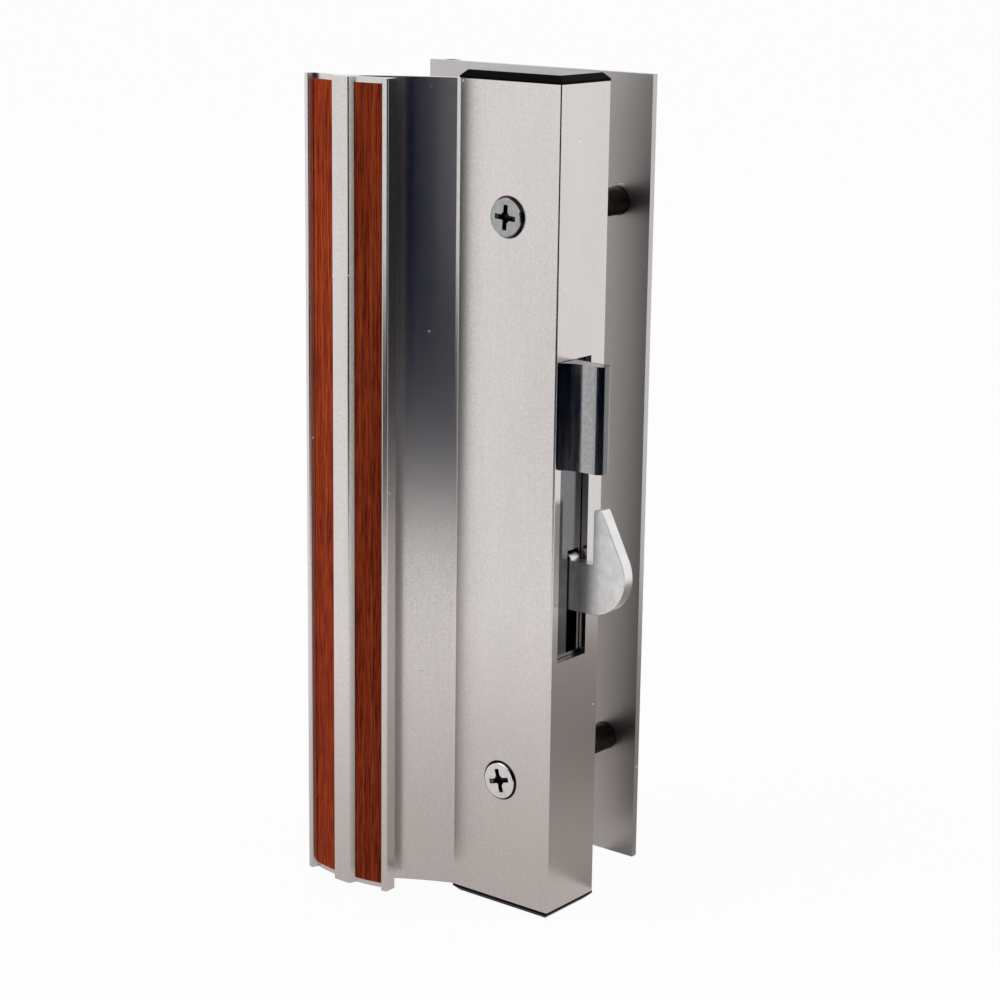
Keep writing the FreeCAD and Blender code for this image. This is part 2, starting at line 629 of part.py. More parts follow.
case.pad("XY", ledge_top - S["case_thickness"], ledge_top, [
    rectangle(leg_end - S["ledge_width"], spring_y - S["spring_wire_diameter"], leg_end, base_rear),
])
case.round_edges(S["case_bend_radius"], along("Z", (flange_outer, base_rear), (case_left, base_rear)))

# Hook spring: a wire hairpin round the collar. Its lower leg lies on the case's ledge, and its upper leg
# ends in the hook's hole.
x0, x1, y1 = pivot_x.value, leg_end.value, spring_y.value
reach, bend, upper = coil.value, S["spring_bend_radius"].value, pivot_z.value + coil.value
lower, slant = pivot_z.value - coil.value, bend * math.sqrt(0.5)
wire_start = FreeCAD.Vector(x1, hook_front.value + S["hook_gap"].value * 4, upper)
bend_start, bend_end = FreeCAD.Vector(x1, y1 - bend, upper), FreeCAD.Vector(x1 - bend, y1, upper)
bend_middle = FreeCAD.Vector(x1 - bend + slant, y1 - bend + slant, upper)
coil_start, coil_end = FreeCAD.Vector(x0, y1, upper), FreeCAD.Vector(x0, y1, lower)
coil_middle = FreeCAD.Vector(x0 - reach, y1, pivot_z.value)
path = Part.Wire([
    Part.makeLine(wire_start, bend_start),
    Part.Arc(bend_start, bend_middle, bend_end).toShape(),
    Part.makeLine(bend_end, coil_start),
    Part.Arc(coil_start, coil_middle, coil_end).toShape(),
    Part.makeLine(coil_end, FreeCAD.Vector(x1, y1, lower)),
])
wire_radius = S["spring_wire_diameter"].value / 2
section = Part.Wire([Part.makeCircle(wire_radius, wire_start, FreeCAD.Vector(0, 1, 0))])
spring = doc.addObject("Part::Feature", "hook_spring")
spring.Label = "hook_spring"
spring.Shape = path.makePipeShell([section], True, True)

doc.recompute()
nodes = [piece.body for piece in (handle, left_insert, cap, plate, slide, hook, pin, washer, clip, case)]
nodes += [right_insert, bottom_cap, screws, posts, spring]
for item in doc.Objects:
    if "Invalid" in item.State or "Error" in item.State:
        raise RuntimeError("%s: %s" % (item.Name, item.State))
for node in nodes:
    if node.Shape.isNull() or not node.Shape.isValid() or not node.Shape.Solids:
        raise RuntimeError("%s has no valid solid" % node.Label)
    node.Shape.exportStep("parts/%s.step" % node.Label)
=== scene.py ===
"""Dresses a sliding patio door handle: finishes, screws, latch, clamp plate and a plain studio."""
import json
import math

import bpy
from mathutils import Matrix, Vector


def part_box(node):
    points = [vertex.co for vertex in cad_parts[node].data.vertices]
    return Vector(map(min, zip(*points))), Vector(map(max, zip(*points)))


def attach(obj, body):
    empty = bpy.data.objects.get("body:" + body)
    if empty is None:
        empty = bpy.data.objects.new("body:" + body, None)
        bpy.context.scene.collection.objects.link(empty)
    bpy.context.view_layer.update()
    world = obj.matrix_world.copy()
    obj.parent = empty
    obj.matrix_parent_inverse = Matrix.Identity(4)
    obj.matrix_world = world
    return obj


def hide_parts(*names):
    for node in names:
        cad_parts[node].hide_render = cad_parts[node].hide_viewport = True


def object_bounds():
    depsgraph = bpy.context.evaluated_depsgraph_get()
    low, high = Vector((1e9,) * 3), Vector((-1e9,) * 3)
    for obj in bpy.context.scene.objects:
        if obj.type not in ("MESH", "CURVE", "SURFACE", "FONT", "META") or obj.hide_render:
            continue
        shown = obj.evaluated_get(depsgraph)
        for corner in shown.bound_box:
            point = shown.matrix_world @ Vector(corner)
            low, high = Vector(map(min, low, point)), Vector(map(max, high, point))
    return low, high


bl_info = {
    "name": "Patio Door Handle",
    "version": (1, 0, 0),
    "blender": (4, 5, 0),
    "location": "View3D > Sidebar > Door Handle",
    "description": "Finishes a sliding patio door handle around its CAD frame",
    "category": "Object",
}

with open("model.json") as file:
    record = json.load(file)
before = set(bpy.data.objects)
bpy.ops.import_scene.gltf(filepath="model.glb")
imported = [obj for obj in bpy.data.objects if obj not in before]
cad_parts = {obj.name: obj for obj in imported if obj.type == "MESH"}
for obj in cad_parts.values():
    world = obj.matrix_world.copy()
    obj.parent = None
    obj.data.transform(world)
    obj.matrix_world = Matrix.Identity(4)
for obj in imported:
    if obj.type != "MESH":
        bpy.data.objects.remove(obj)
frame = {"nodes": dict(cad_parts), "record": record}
NODES = frame["nodes"]
CAD_BOX = [[float(value) for value in corner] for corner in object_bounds()]
MM = 0.001
MERGE = 0.002 * MM
# Sockets of a mix node that mixes colours.
MIX_FIRST, MIX_SECOND, MIX_RESULT = 6, 7, 2


def colour(name, description, default):
    return bpy.props.FloatVectorProperty(
        name=name, description=description, default=default, size=3, min=0.0, max=1.0, subtype="COLOR")


def length(name, description, default):
    return bpy.props.FloatProperty(
        name=name, description=description, default=default, min=0.0, precision=5, subtype="DISTANCE",
        unit="LENGTH")


def factor(name, description, default):
    return bpy.props.FloatProperty(
        name=name, description=description, default=default, min=0.0, max=1.0, subtype="FACTOR")


def amount(name, description, default):
    return bpy.props.FloatProperty(name=name, description=description, default=default)


def angle(name, description, default):
    return bpy.props.FloatProperty(
        name=name, description=description, default=math.radians(default), subtype="ANGLE", unit="ROTATION")


class HandleColours(bpy.types.PropertyGroup):
    """Colours and gloss of the handle's finishes."""

    aluminium: colour("Aluminium", "Satin anodised extrusion", (0.745, 0.705, 0.69))
    aluminium_grain: colour("Aluminium grain", "Darker lines of the extrusion's grain", (0.625, 0.592, 0.58))
    aluminium_roughness: factor("Aluminium roughness", "Blur of the anodised surface", 0.21)
    plate: colour("Clamp plate", "Anodised outside plate", (0.56, 0.542, 0.534))
    plate_grain: colour("Clamp plate grain", "Darker lines of the plate's grain", (0.49, 0.473, 0.466))
    plate_roughness: factor("Clamp plate roughness", "Blur of the plate's surface", 0.34)
    cloud: colour("Cloud", "Faint cloudiness of the anodised surface", (0.35, 0.335, 0.335))
    bare: colour("Bare metal", "Nicks and scratches in the anodised surface", (0.97, 0.96, 0.95))
    wood: colour("Wood", "Red-brown ground of the wood-grain strips", (0.370, 0.046, 0.011))
    wood_dark: colour("Wood grain", "Dark lines of the wood grain", (0.085, 0.0075, 0.0025))
    wood_light: colour("Wood streaks", "Light streaks of the wood grain", (0.60, 0.135, 0.036))
    # Painted light and shade: both strips carry one wood print, made lighter on the left and darker on the
    # right as light falls on the curved grip.
    left_strip_painted_light: amount("Left strip", "Brightness of the left strip's wood", 1.28)
    right_strip_painted_shade: amount("Right strip", "Brightness of the right strip's wood", 0.82)
    plastic: colour("Cap plastic", "Black moulded end caps", (0.0025, 0.0025, 0.003))
    # Dust and painted sheen: the caps' tops are made lighter grey for both the dust and the sheen that light
    # gives them.
    dust_and_sheen: colour("Dust", "Dust on the end caps' tops", (0.38, 0.374, 0.372))
    screw: colour("Screw plating", "Dulled plating of the upper screw and the pivot", (0.40, 0.395, 0.395))
    lower_screw: colour("Lower screw plating", "Bright plating of the lower screw", (0.86, 0.852, 0.845))
    slide: colour("Slide plating", "Dark plating of the thumb slide", (0.185, 0.187, 0.192))
    # Rubbing wear and painted highlight: the tab's front is made lighter where a thumb rubs it and where a
    # highlight falls.
    slide_rub_and_highlight: colour("Rubbed plating", "Plating of the tab where it is rubbed", (0.42, 0.422, 0.425))
    zinc: colour("Zinc", "Bright zinc of the hook", (0.84, 0.835, 0.825))
    zinc_shade: colour("Zinc shade", "Darker mottling of the zinc", (0.72, 0.716, 0.71))
    # The posts' steel is near black.
    post: colour("Post steel", "Dark oiled steel of the posts", (0.030, 0.022, 0.021))
    case: colour("Case steel", "Zinc plated latch case, dulled", (0.11, 0.11, 0.113))
    wire: colour("Spring wire", "Spring steel", (0.22, 0.22, 0.23))
    pit: colour("Pits", "Small dark pits in plating", (0.12, 0.12, 0.12))
    # Painted shade: near black in the screws' recesses and round their heads, where shade falls.
    painted_shade: colour("Grime", "Grime in the screws' recesses and round their heads", (0.015, 0.016, 0.02))


class HandleSizes(bpy.types.PropertyGroup):
    """Small sizes that the dressed pieces add to the CAD frame."""

    cap_edge: length("Cap edge", "Rounding of the end caps' edges", 0.12 * MM)
    hook_edge: length("Hook edge", "Rounding of the hook's edges", 0.28 * MM)
    slide_edge: length("Slide edge", "Rounding of the thumb slide's edges", 0.22 * MM)
    plate_edge: length("Plate edge", "Rounding of the clamp plate's edges", 0.40 * MM)
    screw_head: length("Screw head", "Radius of the screw head at the housing's face", 4.5 * MM)
    screw_crown: length("Screw crown", "Radius of the head's flat top", 3.95 * MM)
    upper_rise: length("Upper rise", "Height of the upper screw's head above the housing's face", 1.05 * MM)
    lower_rise: length("Lower rise", "Height of the lower screw's head above the housing's face", 0.55 * MM)
    screw_edge: length("Screw edge", "Rounding of the screw's edges", 0.07 * MM)
    screw_shank: length("Screw shank", "Radius of the screw's thread", 2.4 * MM)
    thread_pitch: length("Thread pitch", "Distance between thread crests", 0.8 * MM)
    thread_depth: length("Thread depth", "Depth of the thread", 0.38 * MM)
    recess_span: length("Recess span", "Cross recess, tip to tip", 5.4 * MM)
    recess_width: length("Recess width", "Width of the cross recess's arms", 1.12 * MM)
    recess_depth: length("Recess depth", "Depth of the cross recess", 1.9 * MM)
    # Where the tab's lighter patch lies, which is rubbing wear and a painted highlight.
    rub_and_highlight_start: factor("Rub start", "Where the rubbed plating begins, as a share of the tab's reach", 0.42)
    rub_and_highlight_end: factor("Rub end", "Where the rubbed plating ends, as a share of the tab's reach", 0.86)
    rub_and_highlight_depth: length("Rub depth", "How far back the rubbed plating goes", 5.0 * MM)
    upper_turn: angle("Upper screw turn", "Turn of the upper screw's recess", -4.0)
    lower_turn: angle("Lower screw turn", "Turn of the lower screw's recess", 16.0)


class StudioSettings(bpy.types.PropertyGroup):
    """Camera, lamps, floor, world and cards."""

    camera_place: bpy.props.FloatVectorProperty(
        name="Camera place", description="Where the camera stands", default=(0.31797, -0.42126, 0.12995),
        size=3, subtype="TRANSLATION", unit="LENGTH")
    camera_azimuth: angle("Camera azimuth", "Turn of the camera round the handle", 38.3)
    camera_tilt: angle("Camera tilt", "How far the camera looks down", 14.03)
    camera_roll: angle("Camera roll", "Lean of the camera", 0.755)
    camera_lens: amount("Camera lens", "Focal length in millimetres", 88.32)
    floor_colour: colour("Floor", "Pale floor", (0.92, 0.92, 0.92))
    floor_white: factor("Floor white", "Share of plain white in the floor that the camera sees", 0.955)
    # Painted shadow: the floor as metal reflects it is darker close to the handle, where shade falls.
    painted_floor_shadow: colour("Near floor", "Floor close to the handle, as its metal shows it", (0.62, 0.585, 0.57))
    world_light: amount("World light", "Strength of the surrounding light on matt surfaces", 0.55)
    world_white: factor("World white", "White that the camera sees behind the floor", 0.981)
    key_power: amount("Key power", "Power of the large lamp above, in watts", 5.0)
    fill_power: amount("Fill power", "Power of the lamp at the right, in watts", 2.0)
    card_colour: colour("Card", "Dark studio card that shows in polished metal", (0.004, 0.009, 0.034))
    shade_colour: colour("Shade", "Grey studio card on the floor behind the handle", (0.42, 0.385, 0.37))
    shade_inner: colour("Inner shade", "The floor card close to the handle", (0.735, 0.674, 0.648))


def pick(piece):
    """Makes a piece active and the only one selected."""
    bpy.ops.object.select_all(action="DESELECT")
    bpy.context.view_layer.objects.active = piece
    piece.select_set(True)


def edit(piece):
    """Opens a piece for editing."""
    pick(piece)
    bpy.ops.object.mode_set(mode="EDIT")


def leave():
    bpy.ops.object.mode_set(mode="OBJECT")


def settle(piece):
    """Puts a piece's place into its mesh."""
    pick(piece)
    bpy.ops.object.transform_apply(location=True, rotation=True, scale=True)


def apply_modifiers(piece):
    pick(piece)
    for modifier in list(piece.modifiers):
        bpy.ops.object.modifier_apply(modifier=modifier.name)


def point(name, place):
    """A new piece of one vertex, open for editing."""
    bpy.ops.object.select_all(action="DESELECT")
    bpy.ops.mesh.primitive_plane_add(size=MM, location=place)
    piece = bpy.context.object
    piece.name = name
    bpy.ops.object.mode_set(mode="EDIT")
    bpy.ops.mesh.select_all(action="SELECT")
    bpy.ops.mesh.merge(type="CENTER")
    return piece


def round_edges(piece, width, segments=3, sharp=35.0):
    """Rounds a piece's sharp edges and shades the rest smooth."""
    bevel = piece.modifiers.new("edges", "BEVEL")
    bevel.width = width
    bevel.segments = segments
    bevel.limit_method = "ANGLE"
    bevel.angle_limit = math.radians(sharp)
    bevel.use_clamp_overlap = True
    apply_modifiers(piece)
    bpy.ops.object.shade_smooth_by_angle(angle=math.radians(sharp))
    level = piece.modifiers.new("flat_faces", "WEIGHTED_NORMAL")
    level.weight = 100
    level.keep_sharp = True
    apply_modifiers(piece)


def rounded_copy(node, name, width, segments=3):
    """A copy of a CAD node, merged into clean faces, with its sharp edges rounded."""
    piece = bpy.data.objects.new(name, NODES[node].data.copy())
    bpy.context.scene.collection.objects.link(piece)
    edit(piece)
    bpy.ops.mesh.customdata_custom_splitnormals_clear()
    bpy.ops.mesh.select_all(action="SELECT")
    bpy.ops.mesh.remove_doubles(threshold=MERGE)
    bpy.ops.mesh.dissolve_limited(angle_limit=math.radians(0.5))
    leave()
    round_edges(piece, width, segments)
    return piece


def turned(name, profile, place, steps):
    """Spins a half profile of (radius, depth) points about the Y direction through a place."""
    piece = point(name, Vector(place) + Vector((*profile[0], 0.0)))
    for (radius, depth), (next_radius, next_depth) in zip(profile, profile[1:]):
        step = (next_radius - radius, next_depth - depth, 0.0)
        bpy.ops.mesh.extrude_vertices_move(TRANSFORM_OT_translate={"value": step})
    bpy.ops.mesh.select_all(action="SELECT")
    bpy.ops.mesh.spin(steps=steps, angle=math.tau, center=place, axis=(0.0, 1.0, 0.0))
    bpy.ops.mesh.select_all(action="SELECT")
    bpy.ops.mesh.remove_doubles(threshold=MERGE)
    bpy.ops.mesh.normals_make_consistent(inside=False)
    leave()
    settle(piece)
    return piece


def cut_with(piece, cutter):
    cut = piece.modifiers.new("cut", "BOOLEAN")
    cut.operation = "DIFFERENCE"
    cut.solver = "EXACT"
    cut.object = cutter
    apply_modifiers(piece)
    bpy.data.objects.remove(cutter)


# Shape of a cross recess, as shares of its named sizes.
ARM_SPAN = 1.38
ARM_HEIGHT = 2.0
ARM_WIDTH = 1.18
ARM_TAPER = (0.45, 1.0, 0.7)
WELL_MOUTH = 1.75
WELL_FLOOR = 0.55
WELL_HEIGHT = 1.1
WELL_DEPTH = 0.85
WELL_TIP = 1.1
WELL_STEPS = 24


def recess_arm(place, sizes, turn):
    """One tapered arm of a cross recess, standing through the head's top."""
    bpy.ops.object.select_all(action="DESELECT")
    bpy.ops.mesh.primitive_cube_add(size=1.0, location=place)
    arm = bpy.context.object
    span = sizes.recess_span * ARM_SPAN
    arm.scale = (span, sizes.recess_depth * ARM_HEIGHT, sizes.recess_width * ARM_WIDTH)
    settle(arm)
    edit(arm)
    bpy.ops.mesh.select_all(action="DESELECT")
    leave()
    for vertex in arm.data.vertices:
        vertex.select = vertex.co.y > place[1]
    edit(arm)
    bpy.ops.transform.resize(value=ARM_TAPER, center_override=place)
    bpy.ops.mesh.select_all(action="SELECT")
    bpy.ops.transform.rotate(value=turn, orient_axis="Y", center_override=place)
    leave()
    return arm


def recess_well(place, sizes):
    """The pointed hollow at the middle of a cross recess."""
    depth = sizes.recess_depth * WELL_HEIGHT
    mouth = sizes.recess_width * WELL_MOUTH
    floor = sizes.recess_width * WELL_FLOOR
    profile = [(0.0, -depth), (mouth, -depth), (floor, depth * WELL_DEPTH), (0.0, depth * WELL_TIP)]
    return turned("recess_well", profile, place, WELL_STEPS)


def scaled(tone, share):
    """A colour times a share."""
    return [value * share for value in tone]


class Finish:
    """Builds one material: adds nodes and joins their sockets."""

    def __init__(self, name):
        self.material = bpy.data.materials.new(name)
        self.material.use_nodes = True
        self.tree = self.material.node_tree
        self.surface = self.tree.nodes["Principled BSDF"]
        self.place = self.add("ShaderNodeTexCoord").outputs["Object"]

    def add(self, kind, **settings):
        node = self.tree.nodes.new(kind)
        for key, value in settings.items():
            setattr(node, key, value)
        return node

    def feed(self, socket, value):
        if isinstance(value, bpy.types.NodeSocket):
            self.tree.links.new(value, socket)
        else:
            socket.default_value = value

    def set(self, **values):
        """Feeds the surface's sockets, named with underscores for spaces."""
        for key, value in values.items():
            self.feed(self.surface.inputs[key.replace("_", " ")], value)

    def stretched(self, scale, shift=(0.0, 0.0, 0.0)):
        mapping = self.add("ShaderNodeMapping")
        self.feed(mapping.inputs["Vector"], self.place)
        mapping.inputs["Scale"].default_value = scale
        mapping.inputs["Location"].default_value = shift
        return mapping.outputs["Vector"]

    def noise(self, scale, stretch=(1.0, 1.0, 1.0), detail=2.0, rough=0.5, warp=0.0, shift=(0.0, 0.0, 0.0)):
        noise = self.add("ShaderNodeTexNoise")
        self.feed(noise.inputs["Vector"], self.stretched(stretch, shift))
        noise.inputs["Scale"].default_value = scale
        noise.inputs["Detail"].default_value = detail
        noise.inputs["Roughness"].default_value = rough
        noise.inputs["Distortion"].default_value = warp
        return noise.outputs["Fac"]

    def cells(self, scale, stretch=(1.0, 1.0, 1.0)):
        """Distance from the middle of the nearest cell."""
        cells = self.add("ShaderNodeTexVoronoi")
        self.feed(cells.inputs["Vector"], self.stretched(stretch))
        cells.inputs["Scale"].default_value = scale
        return cells.outputs["Distance"]

    def axes(self):
        """The place's X, Y and Z."""
        split = self.add("ShaderNodeSeparateXYZ")
        self.feed(split.inputs[0], self.place)
        return split.outputs

    def distance(self):
        """Distance from the frame's origin."""
        reach = self.add("ShaderNodeVectorMath", operation="LENGTH")
        self.feed(reach.inputs[0], self.place)
        return reach.outputs["Value"]

    def between(self, value, low, high, to_low=0.0, to_high=1.0):
        """Moves a value from one range to another, held at the ends."""
        ranged = self.add("ShaderNodeMapRange", clamp=True)
        self.feed(ranged.inputs["Value"], value)
        for key, number in (("From Min", low), ("From Max", high), ("To Min", to_low), ("To Max", to_high)):
            self.feed(ranged.inputs[key], number)
        return ranged.outputs["Result"]

    def combine(self, kind, a, b):
        """Combines two values with a math node."""
        math_node = self.add("ShaderNodeMath", operation=kind)
        self.feed(math_node.inputs[0], a)
        self.feed(math_node.inputs[1], b)
        return math_node.outputs["Value"]

    def average(self, first, share, second):
        """A share of one value and the rest of another."""
        rest = self.combine("MULTIPLY", second, 1.0 - share)
        return self.combine("ADD", self.combine("MULTIPLY", first, share), rest)

    def blend(self, share, first, second):
        """A colour between two others."""
        mix = self.add("ShaderNodeMix", data_type="RGBA")
        self.feed(mix.inputs["Factor"], share)
        for socket, value in ((MIX_FIRST, first), (MIX_SECOND, second)):
            if not isinstance(value, bpy.types.NodeSocket):
                value = (*value, 1.0)
            self.feed(mix.inputs[socket], value)
        return mix.outputs[MIX_RESULT]

    def recess(self, reach, edge, height, top, floor):
        """1 in the hollow of a screw head, fading out towards its top, and on the side of the head."""
        place = self.axes()
        across = place["X"]
        up = self.combine("SUBTRACT", self.combine("ABSOLUTE", place["Z"], 0.0), height)
        wide = self.combine("MULTIPLY", across, across)
        square = self.combine("ADD", wide, self.combine("MULTIPLY", up, up))
        inside = self.combine("LESS_THAN", square, reach * reach)
        hollow = self.combine("MULTIPLY", inside, self.between(place["Y"], top, floor))
        return self.combine("MAXIMUM", hollow, self.combine("GREATER_THAN", square, edge * edge))

    def patch(self, near, far, rear, fade):
        """1 between two places along X and before one along Y, with soft ends."""
        place = self.axes()
        begun = self.between(place["X"], near - fade, near + fade)
        ahead = self.between(place["X"], far + fade, far - fade)
        front = self.between(place["Y"], rear + fade, rear - fade)
        return self.combine("MULTIPLY", self.combine("MULTIPLY", begun, ahead), front)

    def bump(self, height, strength, depth):
        bump = self.add("ShaderNodeBump")
        bump.inputs["Strength"].default_value = strength
        bump.inputs["Distance"].default_value = depth
        self.feed(bump.inputs["Height"], height)
        self.feed(self.surface.inputs["Normal"], bump.outputs["Normal"])


# Grain and wear of the finishes: stretch along the extrusion, sizes in cells, shares, blur and depth.
LENGTHWAYS = (1.0, 1.0, 0.012)
NICK_SIZE = 0.055
SCRATCH_SIZE = 0.035
LINE_SHARE = 0.22
GRAIN_BLUR = 0.025
NICK_BLUR = 0.35
PATCH_SHARE = 0.55
BUMP_DEPTH = 0.04 * MM


def anodised(name, light, dark, roughness, seed):
    """Satin anodised aluminium: fine grain and lines, faint cloudiness, a few small nicks and scratches."""
    colours = bpy.context.scene.handle_colours
    finish = Finish(name)
    lines = finish.noise(4200.0, LENGTHWAYS, detail=4.0, rough=0.65, shift=(seed, seed, seed))
    grain = finish.noise(2600.0, detail=3.0, rough=0.7)
    cloud = finish.noise(55.0, (1.0, 1.0, 0.3), detail=3.0, rough=0.5, shift=(seed, 0.0, 0.0))
    tone = finish.between(finish.average(lines, LINE_SHARE, grain), 0.33, 0.67)
    base = finish.blend(tone, dark, light)
    base = finish.blend(finish.between(cloud, 0.35, 0.65, 0.0, 0.10), base, colours.cloud)
    rare = finish.combine("GREATER_THAN", finish.noise(90.0, shift=(0.3, seed, 0.1)), 0.58)
    nick = finish.combine("MULTIPLY", finish.combine("LESS_THAN", finish.cells(210.0), NICK_SIZE), rare)
    dash = finish.cells(150.0, (0.24, 0.24, 1.9))
    rubbed = finish.combine("GREATER_THAN", finish.noise(60.0, shift=(seed, 0.2, 0.4)), 0.5)
    scratch = finish.combine("MULTIPLY", finish.combine("LESS_THAN", dash, SCRATCH_SIZE), rubbed)
    nick = finish.combine("MAXIMUM", nick, scratch)
    base = finish.blend(nick, base, colours.bare)
    rough = finish.between(tone, 0.0, 1.0, roughness + GRAIN_BLUR, roughness - GRAIN_BLUR)
    rough = finish.combine("ADD", rough, finish.combine("MULTIPLY", nick, NICK_BLUR))
    finish.set(Base_Color=base, Metallic=1.0, Roughness=rough)
    finish.bump(grain, strength=0.04, depth=0.01 * MM)
    return finish.material


def wood_film(name, ground, dark, light):
    """Printed wood grain: fine fibres along the strip, darker pore lines and lighter streaks."""
    finish = Finish(name)
    fibres = finish.noise(4200.0, (1.0, 1.0, 0.04), detail=3.0, rough=0.65)
    pores = finish.noise(3000.0, (1.0, 1.0, 0.03), detail=3.0, rough=0.6, warp=0.3)
    streaks = finish.noise(1100.0, (1.0, 1.0, 0.012), detail=3.0, rough=0.55, warp=0.6)
    broad = finish.noise(190.0, (1.0, 1.0, 0.05), detail=2.0, rough=0.5)
    base = finish.blend(finish.between(fibres, 0.34, 0.54), dark, ground)
    base = finish.blend(finish.between(streaks, 0.48, 0.68, 0.0, 0.4), base, light)
    base = finish.blend(finish.between(pores, 0.49, 0.35, 0.0, 0.9), base, dark)
    base = finish.blend(finish.between(broad, 0.60, 0.35, 0.0, 0.20), base, dark)
    rough = finish.between(fibres, 0.3, 0.7, 0.55, 0.42)
    finish.set(Base_Color=base, Roughness=rough, Specular_IOR_Level=0.04)
    finish.bump(fibres, strength=0.15, depth=BUMP_DEPTH)
    return finish.material


def moulded(name, base, top_dust_and_sheen):
    """Black moulded plastic with a faint orange-peel surface, and dust with a painted sheen, lighter grey,
    on what faces up.
    """
    finish = Finish(name)
    peel = finish.noise(1400.0, detail=2.0)
    dust_and_sheen = finish.noise(300.0, detail=3.0)
    level = finish.add("ShaderNodeSeparateXYZ")
    finish.feed(level.inputs[0], finish.add("ShaderNodeNewGeometry").outputs["True Normal"])
    # Dust and painted sheen: faces that point up are made lighter grey.
    top = finish.between(level.outputs["Z"], 0.9, 0.99)
    dust_and_sheen_share = finish.combine("MULTIPLY", top, finish.between(dust_and_sheen, 0.3, 0.7, 0.75, 1.0))
    rough = finish.between(dust_and_sheen, 0.3, 0.7, 0.20, 0.23)
    finish.set(Base_Color=finish.blend(dust_and_sheen_share, base, top_dust_and_sheen), Roughness=rough, Specular_IOR_Level=0.015)
    finish.bump(peel, strength=0.01, depth=0.02 * MM)
    return finish.material


def plated(name, light, shade, rough_low, rough_high, mottle, recess=None, rubbed=None, grit=0.12):
    """Plated metal with a mottled shine, faint rubbing marks, painted shade in a recess and round a screw
    head, and a lighter patch that is rubbing wear and a painted highlight.
    """
    colours = bpy.context.scene.handle_colours
    finish = Finish(name)
    patches = finish.noise(mottle, detail=4.0, rough=0.6)
    specks = finish.noise(mottle * 5.0, detail=3.0, rough=0.7)
    rub = finish.noise(900.0, (1.0, 1.0, 0.06), detail=3.0, rough=0.6, warp=0.5)
    tone = finish.average(patches, PATCH_SHARE, specks)
    base = finish.blend(finish.between(tone, 0.36, 0.62), shade, light)
    # A lighter patch, which is rubbing wear and a painted highlight.
    if rubbed:
        bright, *area = rubbed
        flecks = finish.noise(2400.0, detail=3.0, rough=0.6)
        worn_and_highlight = finish.combine("MULTIPLY", finish.patch(*area), finish.between(flecks, 0.35, 0.65, 0.6, 1.0))
        base = finish.blend(worn_and_highlight, base, bright)
    base = finish.blend(finish.between(specks, 0.27, 0.20, 0.0, 0.5), base, colours.pit)
    # Painted shade in the recess of a screw head and round its side.
    if recess:
        base = finish.blend(finish.recess(*recess), base, colours.painted_shade)
    marks = finish.between(rub, 0.5, 0.7, 0.0, 0.06)
    rough = finish.combine("ADD", finish.between(tone, 0.36, 0.62, rough_high, rough_low), marks)
    finish.set(Base_Color=base, Metallic=1.0, Roughness=rough)
    finish.bump(specks, strength=grit, depth=BUMP_DEPTH)
    return finish.material


def wear(node, material):
    """Gives a CAD node its finish."""
    piece = NODES[node]
    if not piece.material_slots:
        piece.data.materials.append(material)
    for slot in piece.material_slots:
        slot.material = material


def dress(piece, material, body, slot, *nodes):
    """Gives a new piece its finish and its body, and hides the CAD nodes that it stands for."""
    piece.data.materials.clear()
    piece.data.materials.append(material)
    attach(piece, body)
    if nodes:
        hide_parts(*nodes)


class HANDLE_OT_housing(bpy.types.Operator):
    """Finish the extruded housing, web and grip"""

    bl_idname = "handle.housing"
    bl_label = "Housing"

    def execute(self, context):
        colours = context.scene.handle_colours
        wear("handle_body", anodised("satin_aluminium", colours.aluminium, colours.aluminium_grain,
                                     colours.aluminium_roughness, 0.0))
        return {"FINISHED"}


class HANDLE_OT_strips(bpy.types.Operator):
    """Finish the two wood-grain strips of the grip, with painted light on the left strip and painted shade
    on the right
    """

    bl_idname = "handle.strips"
    bl_label = "Wood-Grain Strips"

    def execute(self, context):
        colours = context.scene.handle_colours
        # Painted light and shade: each strip's wood print is made lighter or darker by a share.
        for node, name, shade in (("left_grip_insert", "painted_lit_wood_film", colours.left_strip_painted_light),
                                  ("right_grip_insert", "painted_shaded_wood_film", colours.right_strip_painted_shade)):
            wear(node, wood_film(name, scaled(colours.wood, shade), scaled(colours.wood_dark, shade),
                                 scaled(colours.wood_light, shade)))
        return {"FINISHED"}


class HANDLE_OT_caps(bpy.types.Operator):
    """Make the two moulded end caps"""

    bl_idname = "handle.caps"
    bl_label = "End Caps"

    def execute(self, context):
        colours = context.scene.handle_colours
        plastic = moulded("black_plastic", colours.plastic, colours.dust_and_sheen)
        for node, name in (("top_end_cap", "top_cap"), ("bottom_end_cap", "bottom_cap")):
            cap = rounded_copy(node, name, context.scene.handle_sizes.cap_edge, 2)
            dress(cap, plastic, "handle", "black_plastic", node)
        return {"FINISHED"}


# Shape of a screw, as shares of its named sizes, and where its painted shade lies.
HEAD_TAPER = 1.15
TIP_LENGTH = 1 / 3
TIP_WIDTH = 0.6
SCREW_STEPS = 48
SCREW_SHARP = 40.0
PAINTED_SHADE_REACH = 0.9
PAINTED_SHADE_EDGE = 0.12 * MM
PAINTED_SHADE_TOP = 0.15 * MM
PAINTED_SHADE_FLOOR = 0.9 * MM


